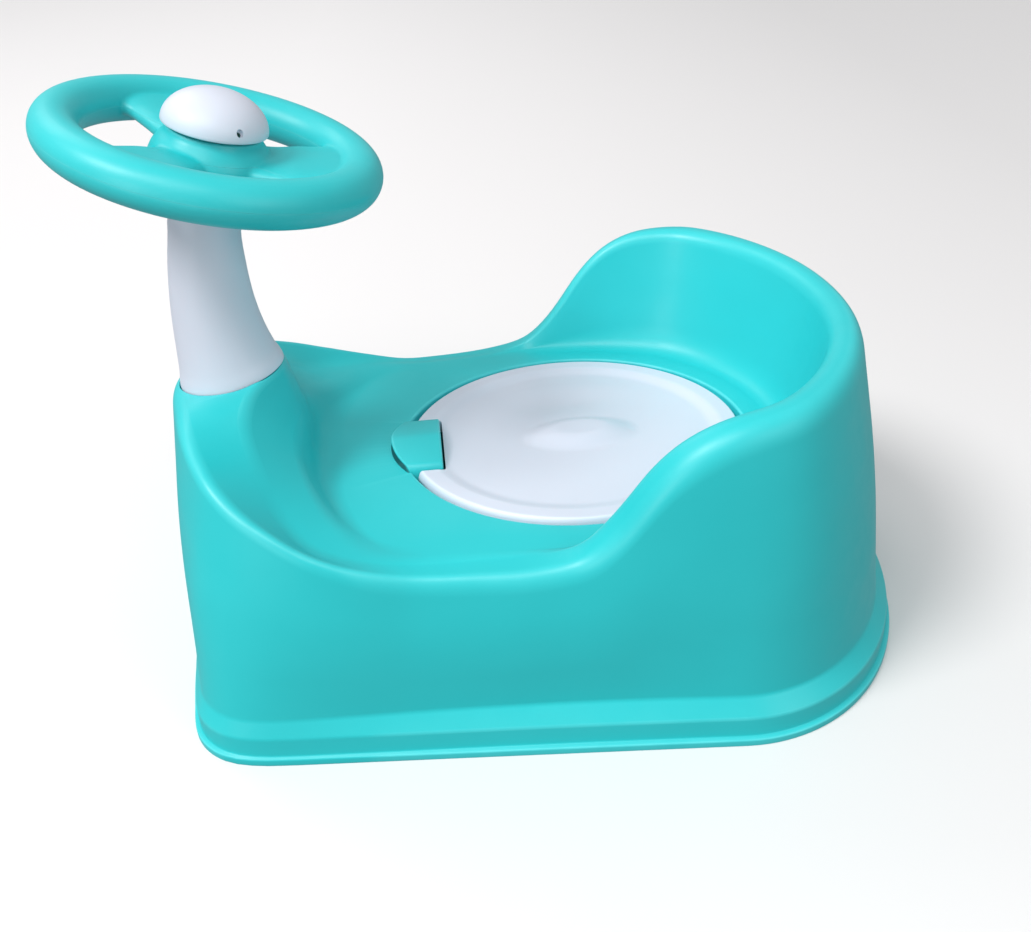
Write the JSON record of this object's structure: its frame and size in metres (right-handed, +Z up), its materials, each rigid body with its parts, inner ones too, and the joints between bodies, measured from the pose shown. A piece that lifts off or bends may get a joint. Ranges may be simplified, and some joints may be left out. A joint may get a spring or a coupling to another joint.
{
  "type": "potty training chair",
  "caption": "Child's potty chair with raised backrest, removable pot with lid, and a toy steering wheel with horn on a front column.",
  "frame": {"origin": "on the floor, under the centre of the whole chair's box", "axes": "+Z up; -Y towards the steering wheel, the way the child faces; +Y towards the backrest; X across, symmetric"},
  "size_m": [0.2788, 0.4162, 0.303],
  "materials": {
    "teal_plastic": "satin moulded polypropylene",
    "white_plastic": "satin moulded polypropylene, pale lilac white",
    "soft_vinyl": "soft matt vinyl",
    "zinc_steel": "zinc-plated steel"
  },
  "bodies": {
    "seat": {"seat_shell": "teal_plastic", "steering_column": "white_plastic", "column_screw_1": "zinc_steel", "column_screw_2": "zinc_steel", "column_screw_3": "zinc_steel", "spindle_washer": "zinc_steel", "spindle_screw": "zinc_steel"},
    "wheel": {"wheel_lower_shell": "teal_plastic", "wheel_upper_shell": "teal_plastic", "wheel_screw_1": "zinc_steel", "wheel_screw_2": "zinc_steel", "wheel_screw_3": "zinc_steel", "squeaker_plate": "white_plastic", "squeaker_reed": "white_plastic", "horn_bellows": "soft_vinyl"},
    "horn": {"horn_cap": "white_plastic"},
    "bowl": {"bowl": "teal_plastic"},
    "lid": {"lid": "white_plastic"}
  },
  "joints": [
    {"name": "wheel_turn", "type": "hinge", "parent": "seat", "child": "wheel", "pos_m": [0, -0.1322, 0.274], "axis": [0, 0.2756, 0.9613], "continuous": true},
    {"name": "horn_press", "type": "slide", "parent": "wheel", "child": "horn", "axis": [0, -0.2756, -0.9613], "range_m": [0, 0.003], "stiffness_N_per_m": 600, "springref_m": -0.0005, "deforming": ["horn_bellows"]},
    {"name": "bowl_lift", "type": "slide", "parent": "seat", "child": "bowl", "axis": [0, 0, 1], "range_m": [0, 0.12]},
    {"name": "lid_lift", "type": "slide", "parent": "bowl", "child": "lid", "axis": [0, 0, 1], "range_m": [0, 0.06]}
  ]
}
